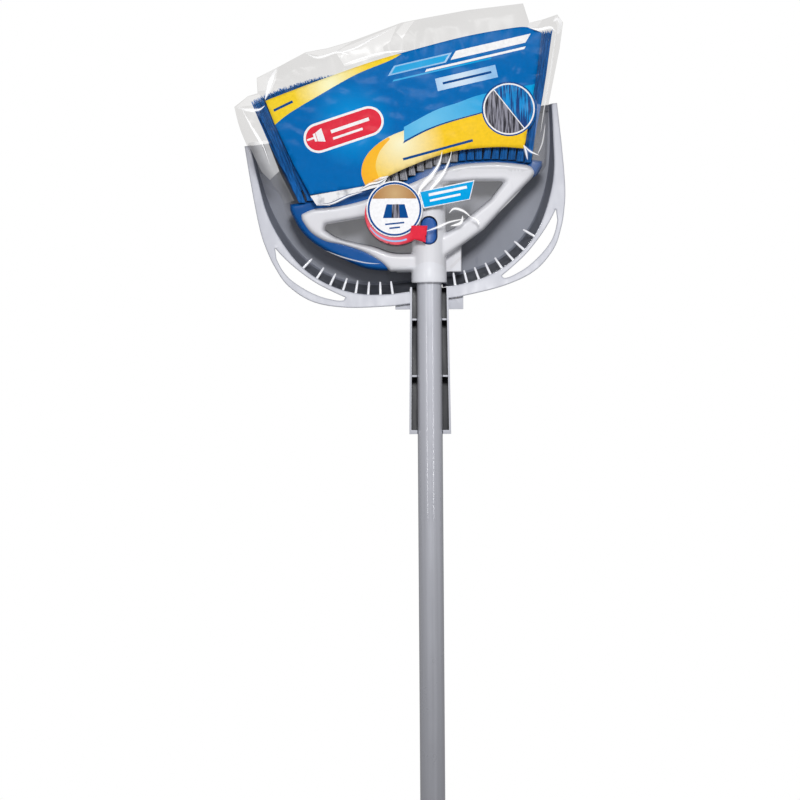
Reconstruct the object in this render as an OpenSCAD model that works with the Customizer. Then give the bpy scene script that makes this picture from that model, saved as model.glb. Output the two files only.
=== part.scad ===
// Angle broom with a release button, a clip-on dustpan and its retail wrap.
// The origin is the centre of the hang hole at the lower end of the pole; the broom head is up.

/* [Pole] */
// Outer diameter of the pole tube
pole_d = 23.8; // [22:0.1:25]
// Wall of the pole tube
tube_wall = 0.8; // [0.6:0.1:1.2]
// Height of the hub's lower edge above the hang hole
hub_z = 1130; // [900:10:1300]
// Diameter of the hang hole
hang_hole_d = 9; // [6:0.5:11]

/* [Head] */
// Outer diameter of the hub and stem
hub_d = 33.2; // [32:0.2:36]
// Front face of the head frame, measured towards the front
frame_front = 10; // [9:0.5:12]
// Back face of the head frame
frame_back = 8; // [7:0.5:9]
// Half depth of the bristle fan
bristle_half_depth = 18; // [12:1:19]

/* [Release button] */
// Width of the oval button
button_w = 15.7; // [12:0.1:16]
// Height of the oval button
button_h = 26.6; // [22:0.1:27]
// Travel of the button
button_travel = 3; // [2:0.5:3]

/* [Dustpan] */
// Angle between the tray and its straight handle
pan_turn = 7.5; // [5:0.5:9]
// Height of the tray from its lower edge to its lip
pan_h = 177; // [172:1:180]
// Depth of the tray floor behind the pole axis
floor_y = 40; // [36:1:46]
// Wall thickness of the tray
pan_wall = 2; // [1.5:0.1:2.5]
// Number of comb teeth on each side
teeth_per_side = 8; // [6:1:10]

/* [Hidden] */
$fn = 64;

big = 400;                               // longer than any cut needs
fit_gap = 0.05;                          // radial gap of parts that fit into each other
screw_gap = 0.1;                         // radial gap round a screw in a cover
pole_r = pole_d / 2;
bore_r = pole_r + fit_gap;
tube_in_r = pole_r - tube_wall;
hub_r = hub_d / 2;
tube_low = 34;
tube_high = hub_z + 35;
plug_high = hub_z + 72;
bore_depth = 74;
button_z = 49.4;                         // button centre above the hub's lower edge
button_seat_y = 2;                       // where the button's pocket ends
button_back_y = button_seat_y - 0.4 - button_travel;
spring_seat_y = 9.5;
pan_x = -2.85;                           // where the tray turns on its handle
pan_z = -22.8;
rim_tilt = 11;                           // the rim plane leans back towards the lip
rim_start = -4.5;                        // depth of the rim plane at the tray's lower edge
rim_t = 2.4;
channel_floor_y = 15;
channel_floor_t = 3;
channel_low = -143.5;
channel_high = -4;

// ---------- helpers ----------

// One point of a smooth curve from b to c, with a and d beside them
function curve_point(a, b, c, d, t) =
    0.5 * (2*b + t*(c - a) + t*t*(2*a - 5*b + 4*c - d) + t*t*t*(3*b - a - 3*c + d));

// A smooth curve through the points p, with n steps between neighbours
function smooth(p, n = 4) = [
    for (i = [0:len(p) - 2], k = [0:n - 1])
        curve_point(p[max(i - 1, 0)], p[i], p[i + 1], p[min(i + 2, len(p) - 1)], k / n),
    p[len(p) - 1]];

// An upright outline (x, z) made solid from depth y0 at the front to y1 at the back
module slab(y0, y1) {
    translate([0, y1, 0]) rotate([90, 0, 0]) linear_extrude(y1 - y0) children();
}

// A rod along Y from depth y0 to y1, at x, z
module rod_y(x, z, r, y0, y1) {
    translate([x, y0, z]) rotate([-90, 0, 0]) cylinder(r = r, h = y1 - y0);
}

module at_head() {
    translate([0, 0, hub_z]) children();
}

module at_pan() {
    at_head() translate([pan_x, 0, pan_z]) rotate([0, -pan_turn, 0]) children();
}

// An oval for the button and its window, wider than the button by the gap g
module button_oval(g = 0) {
    straight = (button_h - button_w) / 2;
    translate([0, button_z - straight]) circle(r = button_w / 2 + g);
    translate([0, button_z + straight]) circle(r = button_w / 2 + g);
    translate([-button_w / 2 - g, button_z - straight]) square([button_w + 2 * g, 2 * straight]);
}

// ---------- outlines of the head, from the hub's lower edge ----------

ring_top = smooth([[-122, 66], [-109, 71.5], [-86, 74], [-60, 80], [-20, 94], [10, 107],
                   [32, 113], [66, 114.7], [94, 112]]);
ring_tip = smooth([[98, 110], [101.5, 104], [97.5, 98]]);
ring_right_arm = [[82, 82.5], [52, 50], [31, 35], [16, 25]];
ring_left_arm = smooth([[-37, 11], [-46, 19.5], [-62, 29], [-82, 36], [-98, 39.5],
                        [-112, 48], [-121, 60]]);
module ring_outline() {
    polygon(concat(ring_top, ring_tip, ring_right_arm, [[16, 11]], ring_left_arm));
}

left_window_top = smooth([[-98, 56], [-80, 59], [-50, 64], [-16, 72]]);
left_window_low = smooth([[-16, 28], [-34, 28.5], [-52, 34.5], [-70, 38.5], [-86, 43], [-99, 51]]);
module left_window() {
    polygon(concat(left_window_top, left_window_low));
}

module right_window() {
    polygon([[16, 94], [43, 96], [72, 96], [58, 78.5], [38, 62.5], [23, 51], [16, 47]]);
}

block_base = [[-131.7, 75.7], [-124, 76.7], [-24, 98], [-9, 106.2], [5.7, 112], [19, 114.8],
              [36, 116.8], [59, 117.8], [79, 116.8], [93.7, 113.5], [98.3, 117], [108.3, 115.2]];
block_under = smooth([[108.3, 110.5], [102, 101], [92, 99], [70, 99.5], [16, 98], [-16, 77],
                      [-50, 67.5], [-80, 62], [-98, 59], [-105, 54], [-99, 46], [-82, 39.5],
                      [-60, 32], [-46, 24], [-38, 14]], 3);
block_fin = smooth([[-40, 12], [-60, 14.3], [-82, 23.5], [-105, 35.7], [-120, 49],
                    [-129, 64], [-131.7, 71]]);
module block_outline() {
    polygon(concat(block_base, block_under, block_fin));
}

// ---------- pole ----------

module pole_tube() {
    color("silver") difference() {
        translate([0, 0, tube_low]) cylinder(r = pole_r, h = tube_high - tube_low);
        translate([0, 0, tube_low - 1]) cylinder(r = tube_in_r, h = tube_high - tube_low + 2);
        rivet_hole();
    }
}

rivet_r = 2;
rivet_z = hub_z + 14;
module rivet_hole() {
    translate([-pole_d, 0, rivet_z]) rotate([0, 90, 0]) cylinder(r = rivet_r + fit_gap, h = 2 * pole_d);
}

module plug_rivet() {
    sunk = 0.3;
    length = 2 * (pole_r - sunk);
    color("gray") translate([-length / 2, 0, rivet_z]) rotate([0, 90, 0]) cylinder(r = rivet_r, h = length);
}

module pole_end_cap() {
    tongue_r = 12;
    tongue_half_t = 4.5;
    cap_low = 20;
    stem_high = tube_low + 40;
    color("dimgray") difference() {
        union() {
            rod_y(0, 0, tongue_r, -tongue_half_t, tongue_half_t);
            translate([-tongue_r, -tongue_half_t, 0]) cube([2 * tongue_r, 2 * tongue_half_t, cap_low + 2]);
            translate([0, 0, cap_low]) cylinder(r = pole_r + 0.5, h = tube_low - cap_low);
            cylinder(r = tube_in_r - fit_gap, h = stem_high);
        }
        rod_y(0, 0, hang_hole_d / 2, -big, big);
        for (side = [-1, 1]) {
            translate([-big, side > 0 ? tongue_half_t : -big - tongue_half_t, -big])
                cube([2 * big, big, big + cap_low]);
        }
    }
}

// The plug in the top of the pole: a sleeve in the tube, and a solid nose that holds the button
module pole_plug() {
    sleeve_low = hub_z - 60;
    sleeve_wall = 3;
    chamfer = 3;
    spring_hole_r = 4.2;
    color("lightgray") difference() {
        union() {
            translate([0, 0, sleeve_low]) cylinder(r = tube_in_r - fit_gap, h = tube_high - sleeve_low);
            translate([0, 0, tube_high]) cylinder(r = pole_r, h = plug_high - chamfer - tube_high);
            translate([0, 0, plug_high - chamfer]) cylinder(r1 = pole_r, r2 = pole_r - 2.5, h = chamfer);
        }
        translate([0, 0, sleeve_low - 1])
            cylinder(r = tube_in_r - sleeve_wall, h = tube_high - sleeve_low - sleeve_wall - 1);
        at_head() slab(-pole_d, button_seat_y) button_oval(0.3);
        rod_y(0, hub_z + button_z, spring_hole_r, button_seat_y - 1, spring_seat_y);
        rivet_hole();
    }
}

// ---------- release button ----------

module release_button() {
    color("royalblue") intersection() {
        at_head() slab(-pole_d, button_back_y) button_oval();
        translate([0, 0, hub_z]) cylinder(r = pole_r - 0.2, h = plug_high - hub_z);
    }
}

// A closed wire coil along Y, swept as rings of points round a helix
module button_spring() {
    wire_r = 0.5;
    coil_r = 3.2;
    turns = 5;
    sides = 8;
    steps = 12 * turns;
    y0 = button_back_y + wire_r + fit_gap;
    y1 = spring_seat_y - wire_r - fit_gap;
    function ring_point(i, k) =
        let (a = 360 * turns * i / steps, b = 360 * k / sides, r = coil_r + wire_r * cos(b))
        [r * cos(a), y0 + (y1 - y0) * i / steps + wire_r * sin(b), r * sin(a)];
    points = [for (i = [0:steps], k = [0:sides - 1]) ring_point(i, k)];
    walls = [for (i = [0:steps - 1], k = [0:sides - 1])
        [i * sides + k, i * sides + (k + 1) % sides, (i + 1) * sides + (k + 1) % sides, (i + 1) * sides + k]];
    first = [for (k = [0:sides - 1]) sides - 1 - k];
    last = [for (k = [0:sides - 1]) steps * sides + k];
    color("silver") translate([0, 0, hub_z + button_z])
        polyhedron(points, concat(walls, [first, last]));
}

// ---------- head ----------

shell_screw_places = [[-24.5, 19, 11], [26, 38, 11], [0, 88, 12]];  // x, z and the depth under the screw's head
block_screw_places = [[-80, 67.5], [19, 103], [72, 105.5]];
screw_r = 1.5;
screw_head_r = 3;
screw_head_h = 1.8;
screw_tip_y = -4;
shell_low = 10.5;
head_top = 90;

module screw_holes(extra) {
    for (s = shell_screw_places) rod_y(s[0], s[1], screw_r + extra, screw_tip_y - 1, big);
}

module block_screw_holes(extra) {
    for (s = block_screw_places) rod_y(s[0], s[1], screw_r + extra, screw_tip_y, big);
}

module head_frame() {
    color("whitesmoke") at_head() difference() {
        union() {
            slab(-frame_front, frame_back) ring_outline();
            cylinder(r = hub_r, h = head_top);
        }
        slab(-big, big) left_window();
        slab(-big, big) right_window();
        translate([-big, frame_back, shell_low]) cube([2 * big, big, big]);
        translate([0, 0, -1]) cylinder(r = bore_r, h = bore_depth + 1);
        slab(-big, 0) button_oval(0.4);
        screw_holes(fit_gap);
        block_screw_holes(fit_gap);
    }
}

// The back shell closes the rear of the stem and is screwed to the frame
module back_shell() {
    plate_t = 3;
    seat_r = screw_head_r + 0.4;
    shell_top = 95.5;
    color("whitesmoke") at_head() difference() {
        union() {
            slab(frame_back, frame_back + plate_t)
                polygon([[-31, shell_low], [31, shell_low], [31, 43], [12, 43], [-12, 27], [-31, 27]]);
            intersection() {
                translate([0, 0, shell_low]) cylinder(r = hub_r, h = shell_top - shell_low);
                translate([-big, frame_back, 0]) cube([2 * big, big, big]);
            }
        }
        translate([0, 0, -1]) cylinder(r = bore_r, h = bore_depth + 1);
        screw_holes(screw_gap);
        for (s = shell_screw_places) rod_y(s[0], s[1], seat_r, s[2], big);
    }
}

module screw(x, z, head_y, tip_y) {
    rod_y(x, z, screw_r, tip_y, head_y + 1);
    rod_y(x, z, screw_head_r, head_y, head_y + screw_head_h);
}

module shell_screws() {
    color("silver") at_head() for (s = shell_screw_places) screw(s[0], s[1], s[2], screw_tip_y);
}

block_front = -13;
block_back = 14;
module bristle_block() {
    color("mediumblue") at_head() difference() {
        slab(block_front, block_back) block_outline();
        slab(block_front - 1, frame_back) ring_outline();
        translate([0, 0, -1]) cylinder(r = hub_r + screw_gap, h = head_top + 10);
        block_screw_holes(screw_gap);
    }
}

module block_screws() {
    color("silver") at_head() for (s = block_screw_places) screw(s[0], s[1], block_back, screw_tip_y + 1);
}

// A fan of bristles between a stretch of the block's base line and its tips
module bristle_fan(base, tips) {
    at_head() slab(-bristle_half_depth, bristle_half_depth) polygon(concat(base, tips));
}

module left_bristles() {
    color("royalblue") bristle_fan([[-43, 94], [-124, 76.8]],
        [[-168, 173], [-155, 179.5], [-142.5, 184], [-119, 191], [-88, 194.5], [-62, 203]]);
}

module middle_bristles() {
    color("gray") bristle_fan([[28, 116], [19, 115], [5.7, 112.2], [-9, 106.4], [-24, 98.2], [-42.7, 94.2]],
        [[-61.7, 203.1], [-8, 217.5], [36, 228.5]]);
}

module right_bristles() {
    color("royalblue") bristle_fan([[98.3, 117.2], [93.7, 113.8], [79, 117], [59, 118], [36, 117], [28.3, 116.1]],
        [[36.3, 228.6], [79, 235.5], [98, 236], [107, 233], [112, 236], [118.5, 239]]);
}

// ---------- packaging ----------

sleeve_top = smooth([[-153.9, 172.9], [-120, 185.5], [-85.5, 198], [-50, 210], [-8, 221.5], [36, 232.5],
                     [79.5, 240], [95, 240.5], [107.8, 235.4]]);
sleeve_low = smooth([[90, 126], [66, 127.5], [32, 125], [7, 119], [-22, 108], [-60, 92], [-112, 83.5]]);
sleeve_left = [[-127, 111], [-145, 150]];
sleeve_half_depth = bristle_half_depth + 2.2;
card_t = 0.7;
roof_from = -80;
roof_to = 90;
module sleeve_outline() {
    polygon(concat(sleeve_top, [[103.7, 202], [92, 133]], sleeve_low, sleeve_left));
}

// A printed card folded over the bristle tips, open at both ends and below
module printed_sleeve() {
    color("dodgerblue") at_head() {
        slab(-sleeve_half_depth, -sleeve_half_depth + card_t) sleeve_outline();
        slab(sleeve_half_depth - card_t, sleeve_half_depth) sleeve_outline();
        intersection() {
            slab(-sleeve_half_depth + 0.1, sleeve_half_depth - 0.1) difference() {
                sleeve_outline();
                translate([0, -card_t]) sleeve_outline();
            }
            translate([roof_from, -big, 190]) cube([roof_to - roof_from, 2 * big, big]);
        }
    }
}

bag_outline = concat(
    smooth([[-184, 167], [-161.5, 196], [-118, 218], [-85.5, 225], [-50, 236], [-24, 247], [6, 254.6],
            [50, 261], [91.4, 265.6]], 3),
    smooth([[93.6, 256], [100, 249], [115, 252.5], [124, 254], [129.5, 249], [127, 225], [122, 172],
            [113.5, 127], [112, 111], [102, 95]], 3),
    [[41, 33], [20, 12], [-20, 12], [-41, 8]],
    smooth([[-62, 11], [-86, 20], [-108, 33], [-124, 47], [-135, 66], [-141, 84], [-157, 100], [-173, 141],
            [-184, 167]], 3));
// Half depth against height, and the front and back against x
bag_side = [[18.6, -20], [18.6, 12], [21.9, 108], [25, 132], [25, 215], [23, 243], [3, 268]];
bag_plan = [[-188, 4], [-169, 20], [-140, 25], [112, 25], [120, 20], [131, 4]];
bag_t = 0.6;
// The open mouth round the hub and the back plate
mouth_from = -40;
mouth_to = 36;
mouth_top = 29;

module bag_solid(inset) {
    intersection() {
        slab(-big, big) scale_about([-30, 130], 1 - inset / 100) polygon(bag_outline);
        rotate([90, 0, 90]) linear_extrude(2 * big, center = true)
            polygon([for (p = bag_side) [inset - p[0], p[1] - inset],
                     for (i = [len(bag_side) - 1:-1:0]) [bag_side[i][0] - inset, bag_side[i][1] - inset]]);
        linear_extrude(big)
            polygon([for (p = bag_plan) [p[0], inset - p[1]],
                     for (i = [len(bag_plan) - 1:-1:0]) [bag_plan[i][0], bag_plan[i][1] - inset]]);
    }
}

module scale_about(c, s) {
    translate(c) scale([s, s]) translate(-c) children();
}

// A clear film bag over the whole head, open round the hub
module film_bag() {
    color("lightgray", 0.4) at_head() difference() {
        bag_solid(0);
        bag_solid(bag_t);
        translate([mouth_from, bag_t + fit_gap - bag_side[0][0], 0])
            cube([mouth_to - mouth_from, 2 * (bag_side[0][0] - bag_t - fit_gap), mouth_top]);
    }
}

tag_x = -32.4;
tag_z = 69.4;
tag_r = 26.6;
tag_y = -23.4;
paper_t = 0.5;
module round_tag() {
    color("white") at_head() rod_y(tag_x, tag_z, tag_r, tag_y, tag_y + paper_t);
}

module tag_ribbon() {
    color("deepskyblue") at_head() slab(tag_y + paper_t, tag_y + 2 * paper_t)
        polygon([[-9, 85.5], [43.3, 96.5], [39, 78], [-5, 69.5]]);
}

// The arrow: a band that follows the lower edge of the tag, with its head towards the button
module tag_arrow() {
    band_w = 5.5;
    from_a = 165;
    to_a = 305;
    step_a = 10;
    in_r = tag_r + 0.3;
    angles = [for (a = [from_a:step_a:to_a]) a];
    color("crimson") at_head() translate([tag_x, 0, tag_z]) slab(tag_y, tag_y + paper_t)
        polygon(concat(
            [for (a = angles) in_r * [cos(a), sin(a)]],
            [(in_r - 0.6) * [cos(to_a + 6), sin(to_a + 6)] + [2, 0],
             (in_r + band_w / 2) * [cos(to_a + 28), sin(to_a + 28)],
             (in_r + band_w + 6) * [cos(to_a + 2), sin(to_a + 2)]],
            [for (i = [len(angles) - 1:-1:0]) (in_r + band_w) * [cos(angles[i]), sin(angles[i])]]));
}

// ---------- dustpan ----------

// Half outlines in the tray's own frame, from the lip down to the middle of the lower edge
rim_out = [[151, pan_h], [149.5, 133], [147, 95], [143, 74], [137.5, 57], [127.5, 38], [106, 19.5],
           [74, 9.5], [33, 5.2]];
rim_in = [[145.8, pan_h], [143, 148], [139, 114], [131, 88], [118, 62.5], [102, 43.5], [80, 28.5],
          [57, 20], [33, 16.6]];
floor_in = [[143, pan_h], [139, 140], [132, 108], [121, 82], [106, 61], [86, 44], [62, 34], [33, 29]];

// The whole symmetric outline; grow pushes the sides out, extra raises the lip end
function both_sides(half, grow = 0, extra = 0) =
    let (s = smooth([for (p = half) [p[0] + grow * p[0] / 150, p[1] - grow * (1 - p[1] / pan_h)]], 3))
    concat([[s[0][0], s[0][1] + extra]], s, [for (i = [len(s) - 1:-1:0]) [-s[i][0], s[i][1]]],
           [[-s[0][0], s[0][1] + extra]]);

// Places a thin plate of an upright outline on the tilted rim plane
module on_rim_plane(depth, t) {
    translate([0, rim_start + depth, 0]) rotate([-rim_tilt, 0, 0]) slab(0, t)
        scale([1, 1 / cos(rim_tilt)]) children();
}

module tray_solid(grow, extra) {
    back = floor_y + (grow > 0 ? pan_wall : 0);
    hull() {
        on_rim_plane(0.2, 0.1) polygon(both_sides(rim_in, grow, extra));
        slab(back - 0.1, back) polygon(both_sides(floor_in, grow, extra));
    }
}

// The space the handle's channel takes, in the head's frame
module channel_space() {
    slab(-60, channel_floor_y + channel_floor_t) channel_outline();
}

// The handle widens a little towards its free end; the sides and the end can be drawn inset
channel_low_w = 19.8;
channel_high_w = 18.1;
module channel_outline(side_inset = 0, end_inset = 0) {
    low_w = channel_low_w - side_inset;
    high_w = channel_high_w - side_inset;
    over = side_inset > 0 ? 10 : 0;
    polygon([[-low_w, channel_low + end_inset], [low_w, channel_low + end_inset],
             [high_w, channel_high + over], [-high_w, channel_high + over]]);
}

lip_v = 171;
module pan_tray() {
    color("slategray") difference() {
        at_pan() difference() {
            tray_solid(pan_wall, 0);
            tray_solid(0, 12);
            translate([-142.5, floor_y - 6, lip_v]) cube([285, 20, 20]);
            slab(-big, big) intersection() {
                rim_slots();
                polygon(both_sides(rim_out));
            }
            translate([-big, -big, -big]) cube([2 * big, big + rim_start + rim_t, big + 16]);
        }
        at_head() channel_space();
        at_head() translate([-18.6, -60, -60]) cube([37.2, 78, 66]);
        at_pan() on_rim_plane(-20, 20 + rim_t) polygon(both_sides(rim_out, 2, 3));
    }
}

slot_half = [smooth([[135, 75.5], [127, 64], [116, 51.3], [102, 38], [88, 27.8], [75, 19.5]], 3),
             smooth([[77, 17], [84, 18], [99, 24], [113, 33.3], [124.5, 44], [131, 54], [135, 65]], 3)];
module rim_slots() {
    polygon(concat(slot_half[0], slot_half[1]));
    mirror([1, 0]) polygon(concat(slot_half[0], slot_half[1]));
}

// The light rim round the tray, with a crescent slot at each lower corner
module pan_rim() {
    color("gainsboro") difference() {
        at_pan() on_rim_plane(0, rim_t) difference() {
            polygon(both_sides(rim_out));
            polygon(both_sides(rim_in, 0, 12));
            rim_slots();
        }
        at_head() channel_space();
    }
}

// Comb teeth stand in from the rim's inner edge, square to it
tooth_l = 12.3;
tooth_w = 3;
tooth_from = 30;
tooth_to = 111;
module tooth_rows() {
    inner = both_sides(rim_in);
    edge = concat([for (p = inner) if (p[0] > 0) p], [[0, inner[len(inner) / 2][1]]]);
    for (side = [0, 1], i = [0:teeth_per_side - 1]) {
        u = tooth_from + (tooth_to - tooth_from) * i / (teeth_per_side - 1);
        near = [for (k = [0:len(edge) - 2]) if (edge[k][0] >= u && edge[k + 1][0] < u) k][0];
        a = edge[near];
        b = edge[near + 1];
        root = b + (a - b) * (u - b[0]) / (a[0] - b[0]);
        mirror([side, 0]) translate(root) rotate(atan2(a[1] - b[1], a[0] - b[0]))
            translate([-tooth_w / 2, -2]) square([tooth_w, tooth_l + 2]);
    }
}

module comb_teeth() {
    color("gainsboro") at_pan() on_rim_plane(0.4, 1.6) intersection() {
        tooth_rows();
        polygon(both_sides(rim_in));
    }
}

// A soft lip along the mouth of the tray
module pan_lip() {
    color("dimgray") at_pan() translate([-142, 0, 0]) rotate([90, 0, 90]) linear_extrude(284)
        polygon([[floor_y - 1.5, lip_v + 0.1], [floor_y + pan_wall, lip_v + 0.1],
                 [floor_y + pan_wall, pan_h - 1], [floor_y + 0.5, pan_h]]);
}

channel_front = -4;
channel_wall = 1.9;
end_wall_t = 3.8;

// The straight handle: a channel that the pole lies in, with an ear on each side under the tray
module handle_channel() {
    color("gainsboro") at_head() difference() {
        union() {
            slab(channel_front, channel_floor_y + channel_floor_t) channel_outline();
            handle_ears();
        }
        slab(channel_front - 1, channel_floor_y) channel_outline(channel_wall, end_wall_t);
        pole_notch(channel_low - 1, end_wall_t + 2);
        for (p = rivet_places) rod_y(p[0], p[1], 1.6, 0, 10);
    }
}

// A round-bottomed notch, open to the front, that the pole lies in
module pole_notch(z, h) {
    notch_r = pole_r + 0.3;
    translate([0, 0, z]) cylinder(r = notch_r, h = h);
    translate([-notch_r, -big, z]) cube([2 * notch_r, big, h]);
}

rib_t = 1.8;
rib_places = [-88.4, -34.7];
module clip_ribs() {
    widening = (channel_low_w - channel_high_w) / (channel_high - channel_low);
    color("gainsboro") at_head() for (z = rib_places) {
        half_w = channel_high_w - channel_wall + (channel_high - z) * widening - 0.05;
        difference() {
            translate([-half_w, channel_front + 1, z - rib_t / 2])
                cube([2 * half_w, channel_floor_y - channel_front - 1, rib_t]);
            pole_notch(z - rib_t, 2 * rib_t);
        }
    }
}

ear_half_w = 32.3;
ear_low = -25;
ear_high = -10.5;
ear_front = 1.5;
ear_back = 4;
rivet_places = [[-26, -19.5], [26, -13.5]];
module handle_ears() {
    rise = ear_half_w * tan(pan_turn);
    slab(ear_front, ear_back) polygon([[-ear_half_w, ear_low], [ear_half_w, ear_low],
                                       [ear_half_w, ear_high + rise], [-ear_half_w, ear_high - rise]]);
}

module handle_rivets() {
    color("silver") at_head() for (p = rivet_places) {
        rod_y(p[0], p[1], 1.5, ear_front, ear_back + 0.5);
        rod_y(p[0], p[1], 2.8, ear_back, ear_back + 1.2);
    }
}

pole_tube();
pole_end_cap();
pole_plug();
plug_rivet();
release_button();
button_spring();
head_frame();
back_shell();
shell_screws();
bristle_block();
block_screws();
left_bristles();
middle_bristles();
right_bristles();
printed_sleeve();
film_bag();
round_tag();
tag_ribbon();
tag_arrow();
pan_tray();
pan_rim();
comb_teeth();
pan_lip();
handle_channel();
clip_ribs();
handle_rivets();
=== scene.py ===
"""Angle broom with its clip-on dustpan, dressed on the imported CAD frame."""
import math

import bmesh
import bpy
import numpy as np
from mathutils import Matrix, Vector, noise
from mathutils.geometry import delaunay_2d_cdt


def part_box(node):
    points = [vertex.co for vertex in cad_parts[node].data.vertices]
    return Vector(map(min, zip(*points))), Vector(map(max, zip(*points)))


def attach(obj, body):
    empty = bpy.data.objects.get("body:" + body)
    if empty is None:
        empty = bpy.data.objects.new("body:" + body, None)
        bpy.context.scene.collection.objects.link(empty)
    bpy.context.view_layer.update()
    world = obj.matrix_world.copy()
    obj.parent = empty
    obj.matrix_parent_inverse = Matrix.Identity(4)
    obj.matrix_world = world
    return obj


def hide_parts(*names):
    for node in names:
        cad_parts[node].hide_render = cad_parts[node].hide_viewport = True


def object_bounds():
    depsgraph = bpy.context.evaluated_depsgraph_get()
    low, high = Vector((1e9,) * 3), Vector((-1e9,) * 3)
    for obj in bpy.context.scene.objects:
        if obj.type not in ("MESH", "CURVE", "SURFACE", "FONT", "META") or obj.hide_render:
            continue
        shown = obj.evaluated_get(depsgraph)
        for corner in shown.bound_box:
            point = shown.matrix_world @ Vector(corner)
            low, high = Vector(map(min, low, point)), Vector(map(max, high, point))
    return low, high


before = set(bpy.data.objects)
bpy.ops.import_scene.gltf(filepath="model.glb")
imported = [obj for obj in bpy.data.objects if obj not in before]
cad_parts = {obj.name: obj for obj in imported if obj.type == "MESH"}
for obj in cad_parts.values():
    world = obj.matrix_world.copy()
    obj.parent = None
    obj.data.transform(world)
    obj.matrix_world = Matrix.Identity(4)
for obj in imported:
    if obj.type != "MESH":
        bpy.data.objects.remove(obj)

CAD_LOW, CAD_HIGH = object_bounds()
MM = 0.001
scene = bpy.context.scene


# ---------- places, in millimetres from the hub's lower edge ----------

HUB_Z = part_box("head_frame")[0].z / MM
POLE_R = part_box("pole_tube")[1].x / MM
HUB_R = 16.6
FRAME_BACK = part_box("back_shell")[0].y / MM
FAN_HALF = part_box("middle_bristles")[1].y / MM
SLEEVE_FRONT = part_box("printed_sleeve")[0].y / MM
TAG_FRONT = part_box("round_tag")[0].y / MM
PAN_TURN = math.radians(7.5)
PAN_X, PAN_Z = -2.85, -22.8
PAN_H = 177
FLOOR_Y = 40
RIM_SLOPE = math.tan(math.radians(11))
RIM_START = -4.5


# ---------- camera and light ----------

VIEW_CENTRE = Vector((-28.5, 0, 1019)) * MM
VIEW_WIDTH = 760 * MM
VIEW_DISTANCE = 4.0
VIEW_ROLL = math.radians(0.4)
FILL = 0.29


def make_camera():
    data = bpy.data.cameras.new("camera")
    data.sensor_width = 36
    data.lens = data.sensor_width * VIEW_DISTANCE / VIEW_WIDTH
    camera = bpy.data.objects.new("camera", data)
    camera.location = VIEW_CENTRE - Vector((0, VIEW_DISTANCE, 0))
    camera.rotation_euler = (math.radians(90), VIEW_ROLL, 0)
    scene.collection.objects.link(camera)
    scene.camera = camera


def make_light(name, kind, place, target, power, **settings):
    """A light aimed at its target."""
    data = bpy.data.lights.new(name, kind)
    data.energy = power
    for setting, value in settings.items():
        setattr(data, setting, value)
    light = bpy.data.objects.new(name, data)
    light.location = place
    light.rotation_mode = "QUATERNION"
    light.rotation_quaternion = (Vector(target) - Vector(place)).to_track_quat("-Z", "Y")
    scene.collection.objects.link(light)


def make_studio():
    """A white backdrop, a dim even fill, a spot on the head that fades down the pole, two strips."""
    world = bpy.data.worlds.new("studio")
    world.use_nodes = True
    tree = world.node_tree
    background = tree.nodes["Background"]
    background.inputs["Color"].default_value = (1, 1, 1, 1)
    strength = add_node(tree, "MapRange", {"Value": camera_ray(tree), "To Min": FILL, "To Max": 1.0})
    tree.links.new(strength.outputs["Result"], background.inputs["Strength"])
    scene.world = world
    scene.view_settings.view_transform = "Standard"
    make_light("key", "SPOT", (0.05, -2.4, 2.0), (0, 0, 1.24), 180,
               spot_size=math.radians(26), spot_blend=1.0, shadow_soft_size=0.25)
    for name, x, width in (("strip_left", -0.95, 0.16), ("strip_right", 0.9, 0.12)):
        make_light(name, "AREA", (x, -1.75, 1.35), (0, 0, 1.1), 2.8,
                   shape="RECTANGLE", size=width, size_y=1.0)
    corners = [(x, y, CAD_LOW.z - MM) for x, y in ((-4, -4), (4, -4), (4, 4), (-4, 4))]
    floor = bpy.data.meshes.new("floor")
    floor.from_pydata(corners, [], [(0, 1, 2, 3)])
    floor.materials.append(pale_floor())
    floor_object = bpy.data.objects.new("floor", floor)
    scene.collection.objects.link(floor_object)


def pale_floor():
    """A matt floor that the camera sees as pale as the backdrop, though the fill is dim."""
    p = Paint("pale_floor", (0.8, 0.8, 0.8), 0.9)
    p.shader.inputs["Emission Color"].default_value = (1, 1, 1, 1)
    lift = p.node("Math", {0: camera_ray(p.tree), 1: 0.5}, operation="MULTIPLY")
    p.paint(lift.outputs["Value"], "Emission Strength")
    return p.material


# ---------- materials ----------

def add_node(tree, kind, inputs=None, **settings):
    """A shader node; each input is a value, a socket, or a node whose first output feeds it."""
    node = tree.nodes.new("ShaderNode" + kind)
    for name, value in settings.items():
        setattr(node, name, value)
    for name, value in (inputs or {}).items():
        if isinstance(value, bpy.types.Node):
            value = value.outputs[0]
        if isinstance(value, bpy.types.NodeSocket):
            tree.links.new(value, node.inputs[name])
        else:
            node.inputs[name].default_value = value
    return node


def camera_ray(tree):
    return add_node(tree, "LightPath").outputs["Is Camera Ray"]


# The Mix node's colour sockets
MIX_A, MIX_B, MIX_RESULT = 6, 7, 2


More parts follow.
